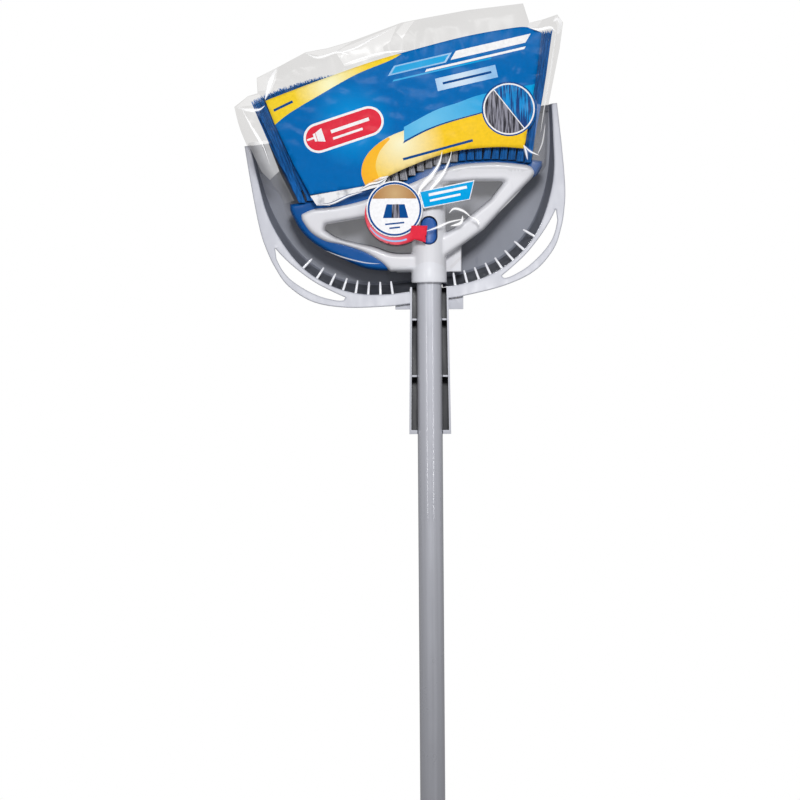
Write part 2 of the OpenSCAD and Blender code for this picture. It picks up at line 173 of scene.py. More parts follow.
class Paint:
    """A Principled material and short calls for the nodes that feed it."""

    SOCKETS = {"metal": "Metallic", "coat": "Coat Weight", "sheen": "Sheen Weight",
               "gloss": "Specular IOR Level"}

    def __init__(self, name, colour, rough, **settings):
        self.material = bpy.data.materials.new(name)
        self.material.use_nodes = True
        self.tree = self.material.node_tree
        self.shader = self.tree.nodes["Principled BSDF"]
        self.shader.inputs["Base Color"].default_value = (*colour, 1.0)
        self.shader.inputs["Roughness"].default_value = rough
        for setting, value in settings.items():
            self.shader.inputs[self.SOCKETS[setting]].default_value = value
        self.places = self.node("TexCoord").outputs["Object"]

    def node(self, kind, inputs=None, **settings):
        return add_node(self.tree, kind, inputs, **settings)

    def cloud(self, scale, detail=3.0, stretch=(1, 1, 1)):
        """Noise from 0 to 1; scale is in cells a metre."""
        places = self.node("Mapping", {"Vector": self.places, "Scale": stretch})
        return self.node("TexNoise", {"Vector": places, "Scale": scale, "Detail": detail}).outputs["Fac"]

    def spread(self, value, low, high, from_low=0.3, from_high=0.7):
        ends = {"From Min": from_low, "From Max": from_high, "To Min": low, "To Max": high}
        return self.node("MapRange", {"Value": value, **ends}).outputs["Result"]

    def blend(self, factor, first, second):
        """A colour between two, each a colour or a socket."""
        ends = [c if isinstance(c, bpy.types.NodeSocket) else (*c, 1.0) for c in (first, second)]
        mix = self.node("Mix", {"Factor": factor, MIX_A: ends[0], MIX_B: ends[1]}, data_type="RGBA")
        return mix.outputs[MIX_RESULT]

    def near(self, centre, reach):
        """1 at a point given in millimetres from the hub, falling to 0 at its reach."""
        x, y, z = centre
        point = (x * MM, y * MM, (HUB_Z + z) * MM)
        away = self.node("VectorMath", {0: self.places, 1: point}, operation="DISTANCE")
        return self.spread(away.outputs["Value"], 1.0, 0.0, 0.0, reach * MM)

    def bump(self, height, distance, strength):
        bumps = self.node("Bump", {"Height": height, "Distance": distance, "Strength": strength})
        self.paint(bumps.outputs["Normal"], "Normal")

    def paint(self, socket, name="Base Color"):
        self.tree.links.new(socket, self.shader.inputs[name])

    def tone(self, cloud, low, high, from_low=0.3, from_high=0.7):
        """The base colour runs between two colours as the cloud does."""
        self.paint(self.blend(self.spread(cloud, 0, 1, from_low, from_high), low, high))

    def scuff(self, cloud, low, high):
        """The roughness runs between two values as the cloud does."""
        self.paint(self.spread(cloud, low, high), "Roughness")


def shade(colour, factor):
    return tuple(min(c * factor, 1.0) for c in colour[:3])


def moulded(name, colour, rough, coat=0.0, mottle=0.06, gloss=0.35):
    """Moulded plastic: slow colour drift, fine grain, and scuffs that roughen it."""
    p = Paint(name, colour, rough, coat=coat, gloss=gloss)
    p.tone(p.cloud(14, 2), shade(colour, 1 - mottle), shade(colour, 1 + mottle))
    p.scuff(p.cloud(120, 6, (1, 1, 0.25)), rough * 0.85, min(rough * 1.35, 1))
    p.bump(p.cloud(900, 2), 0.00012, 0.35)
    return p.material


def tray_wall():
    """The tray's curved wall, with painted shade: dark along the comb, where the wall lies in shadow, and
    plain grey up its sides.
    """
    p = Paint("tray_wall", TRAY_GREY, 0.4, gloss=0.25)
    # painted shade: darkest near the middle of the comb, fading towards the tray's ends
    comb_shade = p.spread(p.near((0, 30, 5), 175), 0, 1, 0.1, 0.5)
    dark = p.blend(p.spread(p.cloud(90, 4), 0, 1), shade(TRAY_GREY, 0.2), shade(TRAY_GREY, 0.4))
    p.paint(p.blend(comb_shade, TRAY_GREY, dark))
    p.bump(p.cloud(900, 2), 0.0001, 0.3)
    return p.material


def ink(name, colour, second=None, centre=(0, 0, 0), reach=60):
    """Printed ink on coated card: a soft gradient, faint print mottle and paper tooth."""
    p = Paint(name, colour, 0.4, gloss=0.02)
    base = p.blend(p.spread(p.cloud(380, 5), 0, 1), shade(colour, 0.94), shade(colour, 1.06))
    if second:
        base = p.blend(p.near(centre, reach), base, second)
    p.paint(base)
    p.scuff(p.cloud(60, 3), 0.32, 0.56)
    p.bump(p.cloud(1600, 3), 0.00004, 0.4)
    return p.material


def stripes(name, light, dark):
    """Upright fibres, as printed in the round badge."""
    p = Paint(name, light, 0.5, gloss=0.1)
    fibres = p.cloud(900, 4, (1, 1, 0.05))
    p.tone(fibres, dark, light, 0.44, 0.56)
    p.bump(fibres, 0.00003, 0.3)
    return p.material


def painted_steel(name, colour):
    """Lacquered tube, faintly streaked along its length."""
    p = Paint(name, colour, 0.42, metal=0.15, coat=1.0)
    p.tone(p.cloud(260, 4, (1, 1, 0.02)), shade(colour, 0.93), shade(colour, 1.07))
    p.scuff(p.cloud(45, 5), 0.27, 0.42)
    p.bump(p.cloud(1100, 2), 0.00005, 0.35)
    return p.material


def metal(name, colour, rough):
    """Bright metal with fine brush marks."""
    p = Paint(name, colour, rough, metal=1.0)
    brushed = p.cloud(2400, 3, (1, 0.06, 1))
    p.tone(brushed, shade(colour, 0.85), colour)
    p.scuff(p.cloud(300, 4), rough * 0.7, rough * 1.4)
    p.bump(brushed, 0.00004, 0.3)
    return p.material


def fibre(name, colour, tip):
    """Brush filament: each strand a little different, paler near the tips at the head's upper left corner."""
    p = Paint(name, colour, 0.42, sheen=0.15)
    strand_tone = p.spread(p.cloud(520, 3, (1, 1, 0.08)), 0, 1, 0.35, 0.65)
    body = p.blend(strand_tone, shade(colour, 0.7), shade(colour, 1.3))
    p.paint(p.blend(p.near((-165, 0, 178), 34), body, tip))
    p.bump(p.cloud(3000, 2, (1, 1, 0.1)), 0.00005, 0.4)
    return p.material


def film(name, tint, haze_low, haze_high, shine=0.012, cells=24, glow=0.0):
    """Clear polythene: it dims what is behind it a little, and its creases catch the light. Its white haze is
    partly painted sheen and highlight, and its glow is a painted highlight.
    """
    p = Paint(name, (1, 1, 1), 0.2)
    p.tree.nodes.remove(p.shader)
    clear = p.node("BsdfTransparent", {"Color": (tint, tint * 0.995, tint * 0.99, 1)})
    haze = p.node("BsdfDiffuse", {"Color": (0.95, 0.95, 0.97, 1)})
    # glow: a painted highlight, light from film that is no lamp
    white = p.node("AddShader", {0: haze, 1: p.node("Emission", {"Strength": glow})})
    crease = p.cloud(cells, 5)
    bumps = p.node("Bump", {"Height": crease, "Strength": 0.3, "Distance": 0.001})
    gloss = p.node("BsdfGlossy", {"Normal": bumps, "Roughness": 0.26})
    cloudy = p.spread(crease, haze_low, haze_high, 0.5, 0.72)
    # painted highlight: more white haze in a patch in front of the top of the stem
    veiled = p.node("Math", {0: p.near((4, -22, 94), 18), 1: 0.3, 2: cloudy}, operation="MULTIPLY_ADD")
    body = p.node("MixShader", {"Fac": veiled, 1: clear, 2: white})
    skin = p.node("MixShader", {"Fac": shine, 1: body, 2: gloss})
    p.tree.links.new(skin.outputs["Shader"], p.tree.nodes["Material Output"].inputs["Surface"])
    return p.material


WHITE = (0.75, 0.76, 0.81)
SLEEVE_BLUE = (0.0, 0.142, 0.46)
BLOCK_BLUE = (0.0, 0.085, 0.33)
BRISTLE_BLUE = (0.004, 0.15, 0.5)
BRISTLE_GREY = (0.36, 0.365, 0.4)
RIM_GREY = (0.54, 0.55, 0.61)
TRAY_GREY = (0.235, 0.25, 0.3)
# Painted shade for the inside of the handle channel
HANDLE_SHADE = (0.06, 0.062, 0.07)

look = {
    "pole": painted_steel("painted_steel", (0.54, 0.55, 0.61)),
    "cap": moulded("dark_plastic", (0.035, 0.035, 0.04), 0.5),
    "plug": moulded("plug_plastic", (0.6, 0.6, 0.62), 0.5),
    "steel": metal("bright_steel", (0.72, 0.72, 0.73), 0.3),
    "button": moulded("button_blue", (0.025, 0.12, 0.42), 0.3, coat=0.2),
    "white": moulded("frame_white", WHITE, 0.3, coat=0.15, mottle=0.03),
    "block": moulded("block_blue", BLOCK_BLUE, 0.4, coat=0.03, gloss=0.14),
    "bristle_blue": fibre("blue_bristle", BRISTLE_BLUE, (0.02, 0.2, 0.6)),
    "bristle_grey": fibre("grey_bristle", BRISTLE_GREY, (0.4, 0.4, 0.42)),
    "film": film("clear_film", 0.97, 0.0, 0.0, 0.002),
    "veil": film("film_sheen", 0.97, 0.48, 0.62),
    "window": film("window_film_painted_light", 0.97, 0.13, 0.26),
    "free": film("free_film", 0.865, 0.0, 0.03, 0.004),
    "fold": film("fold_highlight_film", 0.99, 0.05, 0.2),
    "soft": film("soft_crease_highlight", 0.97, 0.15, 0.45, glow=0.15),
    "crease": film("crease_highlight_film", 0.95, 0.7, 0.98, glow=0.35),
    "hem": film("film_hem_highlight", 0.95, 0.88, 0.1, cells=75),
    "tray": moulded("tray_grey", TRAY_GREY, 0.32, coat=0.1),
    "rim": moulded("rim_grey", RIM_GREY, 0.36, mottle=0.03),
    "wall": tray_wall(),
    "handle_shade": moulded("handle_painted_shade", HANDLE_SHADE, 0.45),
    # Dark fan cores: painted shade in the gaps between the tufts
    "core_blue": moulded("core_shade_blue", shade(BRISTLE_BLUE, 0.5), 0.8),
    "core_grey": moulded("core_shade_grey", shade(BRISTLE_GREY, 0.15), 0.8),
    "rubber": moulded("lip_rubber", (0.19, 0.2, 0.235), 0.65),
    "card_blue": ink("card_blue", SLEEVE_BLUE, (0.0, 0.32, 0.78), (-72, -20, 150), 42),
    "card_back": ink("card_back", (0.8, 0.8, 0.78)),
    "yellow": ink("yellow_ink", (0.93, 0.6, 0.02), (0.95, 0.91, 0.62), (-26, -20, 131), 42),
    "amber": ink("amber_ink", (0.95, 0.42, 0.03), (0.96, 0.55, 0.03), (-40, -20, 110), 40),
    "banner": ink("banner_ink", (0.93, 0.66, 0.03), (0.96, 0.95, 0.6), (-92, -20, 188), 36),
    "cyan": ink("cyan_ink", (0.0, 0.35, 0.74), (0.16, 0.55, 0.85), (0, -24, 150), 70),
    "navy": ink("navy_ink", (0.003, 0.07, 0.27)),
    "paper": ink("white_ink", (0.9, 0.9, 0.92)),
    "pale": ink("pale_blue_ink", (0.3, 0.55, 0.85), (0.75, 0.85, 0.95), (30, -24, 192), 30),
    "red": ink("red_ink", (0.76, 0.03, 0.06), (0.85, 0.2, 0.25), (-45, -24, 45), 30),
    "tan": ink("tan_ink", (0.42, 0.2, 0.07), (0.6, 0.4, 0.2), (-32, -24, 84), 20),
    "badge_grey": stripes("badge_grey", (0.3, 0.3, 0.37), (0.02, 0.02, 0.03)),
    "badge_blue": stripes("badge_blue", (0.0, 0.28, 0.7), (0.0, 0.04, 0.2)),
}


# ---------- outlines ----------

def smooth(points, steps=6):
    """A smooth curve through the points."""
    p = np.array(points, float)
    out = []
    for i in range(len(p) - 1):
        a, b, c, d = p[max(i - 1, 0)], p[i], p[i + 1], p[min(i + 2, len(p) - 1)]
        for k in range(steps):
            t = k / steps
            out.append(0.5 * (2 * b + t * (c - a) + t * t * (2 * a - 5 * b + 4 * c - d)
                              + t ** 3 * (3 * b - a - 3 * c + d)))
    out.append(p[-1])
    return np.array(out)


def joined(*stretches):
    return np.concatenate([np.array(s, float).reshape(-1, 2) for s in stretches])


def disc(centre, radius, count=64, start=0.0, end=360.0):
    """Points round a circle, or along an arc of it."""
    closed = abs(end - start) >= 360
    angles = np.radians(np.linspace(start, end, count, endpoint=not closed))
    return np.stack([centre[0] + radius * np.cos(angles), centre[1] + radius * np.sin(angles)], 1)


def oval(centre, width, height, grow=0.0, count=24):
    """A slot shape: two half circles joined by straight sides."""
    r = width / 2 + grow
    straight = (height - width) / 2
    top = disc((centre[0], centre[1] + straight), r, count, 0, 180)
    low = disc((centre[0], centre[1] - straight), r, count, 180, 360)
    return joined(top, low)


def bar(start, end, width):
    """A straight bar with square ends."""
    a, b = np.array(start, float), np.array(end, float)
    side = (b - a) / np.linalg.norm(b - a)
    side = np.array([-side[1], side[0]]) * width / 2
    return np.array([a - side, b - side, b + side, a + side])


def resample(loop, gap):
    """The closed loop with points no further apart than gap."""
    out = []
    for a, b in zip(loop, np.roll(loop, -1, 0)):
        length = np.linalg.norm(b - a)
        if length < 1e-6:
            continue
        n = max(int(math.ceil(length / gap)), 1)
        out += [a + (b - a) * k / n for k in range(n)]
    return np.array(out)


def edge_distance(points, loops):
    """Distance from each point to the nearest edge of the loops."""
    best = np.full(len(points), 1e9)
    for loop in loops:
        for a, b in zip(loop, np.roll(loop, -1, 0)):
            ab = b - a
            t = np.clip(((points - a) @ ab) / max(ab @ ab, 1e-12), 0, 1)
            best = np.minimum(best, np.linalg.norm(points - a - t[:, None] * ab, axis=1))
    return best


def inside(points, loops):
    """True where a point is inside an odd number of loops."""
    hit = np.zeros(len(points), bool)
    for loop in loops:
        for (x1, y1), (x2, y2) in zip(loop, np.roll(loop, -1, 0)):
            if y1 == y2:
                continue
            crosses = (points[:, 1] < y1) != (points[:, 1] < y2)
            hit ^= crosses & (points[:, 0] < (x2 - x1) * (points[:, 1] - y1) / (y2 - y1) + x1)
    return hit


def region(loops, gap, cell, rounds=(), extra=()):
    """Triangles that fill the loops: (points, triangles, distance to the edge).

    Points lie on the loops, on rings inside them at the distances in rounds, and on a grid.
    The extra loops only add edges, so that a print can follow them.
    """
    loops = [resample(l, gap) for l in loops]
    extra = [resample(l, gap) for l in extra]
    points, edges = [], []
    for loop in (*loops, *extra):
        first = len(points)
        points += list(loop)
        edges += [(first + i, first + (i + 1) % len(loop)) for i in range(len(loop))]
    inner = []
    for loop in loops:
        ahead = np.roll(loop, -1, 0) - np.roll(loop, 1, 0)
        side = np.stack([-ahead[:, 1], ahead[:, 0]], 1)
        side /= np.linalg.norm(side, axis=1)[:, None] + 1e-9
        for depth in rounds:
            for sign in (-1, 1):
                ring = loop + sign * depth * side
                good = inside(ring, loops) & (edge_distance(ring, loops) > depth * 0.93)
                inner += list(ring[good])
    low, high = np.min(np.concatenate(loops), 0), np.max(np.concatenate(loops), 0)
    rows = np.arange(low[1] + cell / 2, high[1], cell * 0.866)
    grid = np.array([(x + (cell / 2 if r % 2 else 0), z)
                     for r, z in enumerate(rows) for x in np.arange(low[0], high[0], cell)])
    keep = inside(grid, loops) & (edge_distance(grid, [*loops, *extra]) > max([*rounds, gap]) * 0.75)
    inner += list(grid[keep])
    everything = [Vector(p) for p in (*points, *inner)]
    found = delaunay_2d_cdt(everything, edges, [], 0, 1e-5)
    flat = np.array([tuple(v) for v in found[0]])
    triangles = np.array([f for f in found[2] if len(f) == 3])
    middle = flat[triangles].mean(1)
    triangles = triangles[inside(middle, loops)]
    used = np.unique(triangles)
    renumber = np.full(len(flat), -1)
    renumber[used] = np.arange(len(used))
    flat, triangles = flat[used], renumber[triangles]
    a, b, c = (flat[triangles[:, k]] for k in range(3))
    turn = (b[:, 0] - a[:, 0]) * (c[:, 1] - a[:, 1]) - (b[:, 1] - a[:, 1]) * (c[:, 0] - a[:, 0])
    triangles[turn < 0] = triangles[turn < 0][:, ::-1]
    return flat, triangles, edge_distance(flat, loops)


def arc(t):
    return np.sqrt(1 - (1 - np.clip(t, 0, 1)) ** 2)


def pinched(t):
    """Two sheets that meet at a crease and part in a curve."""
    return np.sin(np.clip(t, 0, 1) * math.pi / 2)


# ---------- meshes ----------

def on_head(points):
    return (np.asarray(points, float) + (0, 0, HUB_Z)) * MM


def on_pan(points):
    """From the tray's own frame (u, y, v), turned on the handle."""
    u, y, v = np.asarray(points, float).T
    x = PAN_X + u * math.cos(PAN_TURN) - v * math.sin(PAN_TURN)
    z = PAN_Z + u * math.sin(PAN_TURN) + v * math.cos(PAN_TURN)
    return on_head(np.stack([x, y, z], 1))


def rim_y(v):
    return RIM_START + v * RIM_SLOPE


def make_object(name, points, faces, materials, place=on_head, indices=None):
    mesh = bpy.data.meshes.new(name)
    mesh.from_pydata([tuple(p) for p in place(points)], [], [tuple(int(i) for i in f) for f in faces])
    for m in materials:
        mesh.materials.append(m)
    if indices is not None:
        mesh.polygons.foreach_set("material_index", np.asarray(indices, np.int32))
    mesh.polygons.foreach_set("use_smooth", np.ones(len(mesh.polygons), bool))
    mesh.update()
    made = bpy.data.objects.new(name, mesh)
    scene.collection.objects.link(made)
    return made


def pillow_mesh(loops, front, back, round_by, gap, cell, split=None, swell=arc, extra=()):
    """A closed solid over a region, its edges rounded: (points, faces).

    front and back give y at (x, z). Where split is true on the edge, front and back stay apart.
    """
    rounds = [round_by * f for f in (0.06, 0.22, 0.48, 0.78, 1.05)]
    flat, triangles, depth = region(loops, gap, cell, rounds, extra)
    lift = swell(depth / round_by)
    x, z = flat.T
    y_front, y_back = front(x, z), back(x, z)
    middle = (y_front + y_back) / 2
    edge = depth < 1e-4
    if split is not None:
        apart = split(x, z)
        lift = np.where(apart & edge, 1.0, lift)
        edge &= ~apart
    front_points = np.stack([x, middle + (y_front - middle) * lift, z], 1)
    back_points = np.stack([x, middle + (y_back - middle) * lift, z], 1)
    number = np.arange(len(flat))
    back_number = np.where(edge, number, 0)
    back_number[~edge] = len(flat) + np.arange((~edge).sum())
    points = np.concatenate([front_points, back_points[~edge]])
    faces = np.concatenate([triangles, back_number[triangles][:, ::-1]])
    return points, faces


def level(y):
    return lambda x, z: np.full(np.shape(x), float(y))


def ring_loft(rings):
    """A closed solid over equal rings, its ends capped: (points, faces)."""
    count, last = len(rings[0]), len(rings) - 1
    faces = [(k * count + i, k * count + j, (k + 1) * count + j, (k + 1) * count + i)
             for k in range(last) for i, j in zip(range(count), (*range(1, count), 0))]
    faces += [tuple(range(count))[::-1], tuple(last * count + i for i in range(count))]
    return np.concatenate(rings), faces


def prism(name, outline, from_y, to_y):
    """A cutter along Y with the outline as its section."""
    rings = [np.array([(x, y, z) for x, z in outline], float) for y in (from_y, to_y)]
    made = make_object(name, *ring_loft(rings), [])
    tidy_normals(made)
    return made


def revolve(profile, count=64):
    """A closed solid turned round Z from (radius, z) points, its ends capped."""
    angles = np.radians(np.arange(count) * 360 / count)
    return ring_loft([np.stack([r * np.cos(angles), r * np.sin(angles), np.full(count, z)], 1)
                      for r, z in profile])


def apply_modifiers(made):
    graph = bpy.context.evaluated_depsgraph_get()
    mesh = bpy.data.meshes.new_from_object(made.evaluated_get(graph))
    made.modifiers.clear()
    made.data = mesh
    return made


def remeshed(made, voxel, passes):
    """Joins overlapping solids into one skin with softly rounded corners."""
    skin = made.modifiers.new("skin", "REMESH")
    skin.mode = "VOXEL"
    skin.voxel_size = voxel * MM
    skin.use_smooth_shade = True
    soften = made.modifiers.new("soften", "SMOOTH")
    soften.factor = 0.5
    soften.iterations = passes
    return apply_modifiers(made)


def cut(made, *cutters, operation="DIFFERENCE"):
    """Boolean cuts; the cutters are removed afterwards."""
    for cutter in cutters:
        step = made.modifiers.new("cut", "BOOLEAN")
        step.operation = operation
        step.object = cutter
        step.solver = "EXACT"
    apply_modifiers(made)
    for cutter in cutters:
        bpy.data.objects.remove(cutter)
    return made


def joined_object(name, parts, materials, place=on_head):
    """One object from several (points, faces)."""
    points, faces, first = [], [], 0
    for p, f in parts:
        points.append(p)
        faces += [tuple(i + first for i in face) for face in f]
        first += len(p)
    return make_object(name, np.concatenate(points), faces, materials, place)


def box_mesh(low, high):
    corners = np.array([(x, y, z) for x in (low[0], high[0]) for y in (low[1], high[1])
                        for z in (low[2], high[2])])
    faces = [(0, 1, 3, 2), (4, 6, 7, 5), (0, 4, 5, 1), (2, 3, 7, 6), (0, 2, 6, 4), (1, 5, 7, 3)]
    return corners, faces


def softened(node, material, width):
    """A copy of a CAD node with its coplanar faces joined and its edges rounded."""
    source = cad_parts[node]
    mesh = source.data.copy()
    mesh.materials.clear()
    mesh.materials.append(material)
    made = bpy.data.objects.new(node + "_part", mesh)
    scene.collection.objects.link(made)
    work = bmesh.new()
    work.from_mesh(mesh)
    bmesh.ops.remove_doubles(work, verts=work.verts, dist=1e-6)
    bmesh.ops.dissolve_limit(work, angle_limit=math.radians(1), verts=work.verts, edges=work.edges)
    for face in work.faces:
        face.material_index = 0
        face.smooth = True
    work.to_mesh(mesh)
    work.free()
    bevel = made.modifiers.new("rounded", "BEVEL")
    bevel.width = width * MM
    bevel.segments = 3
    bevel.limit_method = "ANGLE"
    bevel.angle_limit = math.radians(25)
    bevel.harden_normals = False
    apply_modifiers(made)
    return made


def finish_piece(made, body, *nodes, slot, crisp=None):
    """Puts a piece on its body, in place of its CAD nodes, and keeps edges over the crisp angle sharp."""
    if crisp:
        made.data.set_sharp_from_angle(angle=math.radians(crisp))
    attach(made, body)
    if nodes:
        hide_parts(*nodes)


# ---------- broom head ----------

ring_top = smooth([[-122, 66], [-109, 71.5], [-86, 74], [-60, 80], [-20, 94], [10, 107],
                   [32, 113], [66, 114.7], [94, 112]])
ring_tip = smooth([[98, 110], [101.5, 104], [97.5, 98]])
ring_left_arm = smooth([[-37, 11], [-46, 19.5], [-62, 29], [-82, 36], [-98, 39.5], [-112, 48], [-121, 60]])
ring_outline = joined(ring_top, ring_tip, [[82, 82.5], [52, 50], [31, 35], [16, 25], [16, 11]], ring_left_arm)
left_window = joined(smooth([[-98, 56], [-80, 59], [-50, 64], [-13, 72]]),
                     smooth([[-13, 28], [-34, 28.5], [-52, 34.5], [-70, 38.5], [-86, 43], [-99, 51]]))
right_window = np.array([[13, 94], [43, 96], [72, 96], [58, 78.5], [38, 62.5], [23, 51], [13, 46]], float)
BUTTON = (0, 49.4)
BUTTON_SIZE = (15.7, 26.6)
PRESS = 3


# The hub and stem: how far past the hub's radius, and height
HUB_PROFILE = ((0.3, 0), (0.3, 6), (-0.2, 14), (-0.6, 60), (-0.8, 86), (-3.5, 94), (-8, 99))


def head_solid(name):
    """The ring, stem and hub as one skin."""
    ring = pillow_mesh([ring_outline, left_window, right_window], level(-10), level(8), 4.2, 1.6, 3.2)
    hub = revolve([(HUB_R + wider, z) for wider, z in HUB_PROFILE])
    solid = joined_object(name, [ring, hub], [look["white"]])
    return remeshed(solid, 0.9, 6)


def bore_cutter():
    return make_object("bore", *revolve([(POLE_R + 0.15, -5), (POLE_R + 0.15, 74)]), [])


def half_space(name, low_y, high_y, low_z=-20):
    return make_object(name, *box_mesh((-200, low_y, low_z), (200, high_y, 200)), [])


def make_head_frame():
    made = head_solid("white_frame")
    window = prism("window", oval(BUTTON, *BUTTON_SIZE, 0.4), 0, -30)
    cut(made, bore_cutter(), window, half_space("behind", FRAME_BACK, 60, 10.5))
    finish_piece(made, "head", "head_frame", slot="frame_white", crisp=40)


def make_back_shell():
    made = head_solid("rear_shell")
    footprint = np.array([[-31, 10.5], [31, 10.5], [31, 43], [12, 43], [-12, 27], [-31, 27]], float)
    plate = pillow_mesh([footprint], level(FRAME_BACK - 1), level(FRAME_BACK + 3), 1.0, 1.2, 3)
    cut(made, half_space("before", -60, FRAME_BACK))
    cut(made, make_object("trim", *box_mesh((-HUB_R, 0, 10.5), (HUB_R, 60, 96)), []), operation="INTERSECT")
    cut(made, bore_cutter())
    plate_object = make_object("rear_plate", *plate, [look["white"]])
    finish_piece(plate_object, "head", slot="frame_white", crisp=50)
    finish_piece(made, "head", "back_shell", slot="frame_white", crisp=40)


def make_button():
    """An oval cap with a shallow thumb dish, and a pocket that takes the spring when it is pressed."""
    outline = oval(BUTTON, *BUTTON_SIZE, -0.1)

    def face(x, z):
        dome = -np.sqrt(np.maximum((POLE_R - 0.3) ** 2 - x ** 2, 1))
        dish = 0.9 * np.exp(-((x / 4.5) ** 2 + ((z - BUTTON[1]) / 8.5) ** 2))
        return dome + dish
    points, faces = pillow_mesh([outline], face, level(-1.6), 1.6, 0.8, 1.2)
    made = make_object("oval_button", points, faces, [look["button"]])
    spring_low, spring_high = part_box("button_spring")
    pocket_r = (spring_high.x - spring_low.x) / 2 / MM + 0.3
    pocket_end = spring_low.y / MM - PRESS - 0.3
    cut(made, prism("spring_pocket", disc(BUTTON, pocket_r, 40), pocket_end, 0))
    finish_piece(made, "button", "release_button", slot="button_blue")


block_base = np.array([[-131.7, 75.7], [-124, 76.7], [-24, 98], [-9, 106.2], [5.7, 112], [19, 114.8],
                       [36, 116.8], [59, 117.8], [79, 116.8], [93.7, 113.5], [98.3, 117],
                       [108.3, 115.2]], float)
block_under = smooth([[108.3, 110.5], [102, 101], [92, 99], [70, 99.5], [16, 98], [-16, 77], [-50, 67.5],
                      [-80, 62], [-98, 59], [-105, 54], [-99, 46], [-82, 39.5], [-60, 32], [-46, 24],
                      [-38, 14]], 4)
block_fin = smooth([[-40, 12], [-60, 14.3], [-82, 23.5], [-105, 35.7], [-120, 49], [-129, 64],
                    [-131.7, 71]], 5)


def make_block():
    outline = joined(block_base, block_under, block_fin)

    def front(x, z):
        fin = np.clip((-x - 40) / 60, 0, 1) * np.clip((70 - z) / 20, 0, 1)
        return -6.5 + 1.5 * fin
    points, faces = pillow_mesh([outline], front, level(14), 3.2, 1.5, 3.5)
    made = make_object("blue_block", points, faces, [look["block"]])
    finish_piece(made, "head", "bristle_block", slot="block_blue", crisp=60)


FAN_BASE = np.array([[-124, 76.8], [-24, 98.2], [-9, 106.4], [5.7, 112.2], [19, 115], [36, 117], [59, 118],
                     [79, 117], [93.7, 113.8], [98.3, 117.2]], float)
FAN_TIPS = np.array([[-168, 173], [-155, 179.5], [-142.5, 184.5], [-105, 196], [-88, 198], [-62, 205],
                     [-8, 218], [36, 228.5], [79, 235.5], [98, 236.5], [118.5, 239]], float)


def along(line, s):
    """The point at each fraction s of the way along a line, by x."""
    x = line[0, 0] + (line[-1, 0] - line[0, 0]) * np.asarray(s)
    return np.stack([x, np.interp(x, line[:, 0], line[:, 1])], -1)


def fan_core(from_s, to_s, count=26):
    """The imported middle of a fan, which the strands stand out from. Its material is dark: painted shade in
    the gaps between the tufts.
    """
    rings = []
    inner = 0.012
    for s in np.linspace(from_s + inner, to_s - inner, count):
        base, tip = along(FAN_BASE, s), along(FAN_TIPS, s)
        ring = []
        for t, half in ((0.1, 7.5), (0.35, 11.0), (0.6, 12.5), (0.93, 13.5), (0.975, 9.0)):
            ring.append((*(base + (tip - base) * t), half))
        outline = [(x, -h, z) for x, z, h in ring] + [(x, h, z) for x, z, h in ring[::-1]]
        rings.append(np.array(outline, float))
    return ring_loft(rings)


def strands(from_s, to_s, columns, rows, each, seed):
    """Tufts of thin filaments: three-sided tubes from the block to the tips."""
    rng = np.random.default_rng(seed)
    tuft_s = from_s + (to_s - from_s) * (np.arange(columns) + 0.5) / columns
    tuft_y = np.linspace(-1, 1, rows)
    s0, y0 = np.meshgrid(tuft_s, tuft_y, indexing="ij")
    s0, y0 = np.repeat(s0.ravel(), each), np.repeat(y0.ravel(), each)
    n = len(s0)
    angle, away = rng.uniform(0, 2 * math.pi, n), np.sqrt(rng.uniform(0, 1, n))
    base = along(FAN_BASE, s0) + np.stack([3.2 * away * np.cos(angle), np.full(n, -1.0)], 1)
    step = (to_s - from_s) / columns
    tip_s = np.clip(s0 + rng.normal(0, 0.55, n) * step, from_s + 0.001, to_s - 0.001)
    tip = along(FAN_TIPS, tip_s)
    reach = rng.uniform(0.97, 1.0, n)[:, None]
    tip = base + (tip - base) * reach
    base_y = y0 * 9.5 + 1.9 * away * np.sin(angle)
    tip_y = np.clip(y0 * 14 + rng.normal(0, 2.0, n), -FAN_HALF + 0.6, FAN_HALF - 0.6)
    bow = rng.normal(0, 1.1, (n, 2))
    steps = 6
    turn = 2 * math.pi * np.arange(3) / 3
    rings = []
    for k in range(steps + 1):
        t = k / steps
        middle = base + (tip - base) * t + bow[:, :1] * math.sin(math.pi * t) * np.array([1.0, 0.1])
        y = base_y + (tip_y - base_y) * t ** 0.8 + bow[:, 1] * math.sin(math.pi * t)
        y = np.clip(y, -FAN_HALF + 0.5, FAN_HALF - 0.5)
        thick = 0.36 if k < steps else 0.16
        ring = np.stack([middle[:, None, 0] + thick * np.cos(turn), y[:, None] + thick * np.sin(turn),
                         np.repeat(middle[:, 1:], 3, 1)], 2)
        rings.append(ring)
    points = np.stack(rings, 1).reshape(-1, 3)
    per = 3 * (steps + 1)
    pattern = [(k * 3 + i, k * 3 + (i + 1) % 3, (k + 1) * 3 + (i + 1) % 3, (k + 1) * 3 + i)
               for k in range(steps) for i in range(3)]
    quads = (np.arange(n)[:, None, None] * per + np.array(pattern)[None]).reshape(-1, 4)
    ends = (np.arange(n)[:, None] * per + np.array([steps * 3, steps * 3 + 1, steps * 3 + 2])[None])
    return points, [*quads.tolist(), *ends.tolist()]


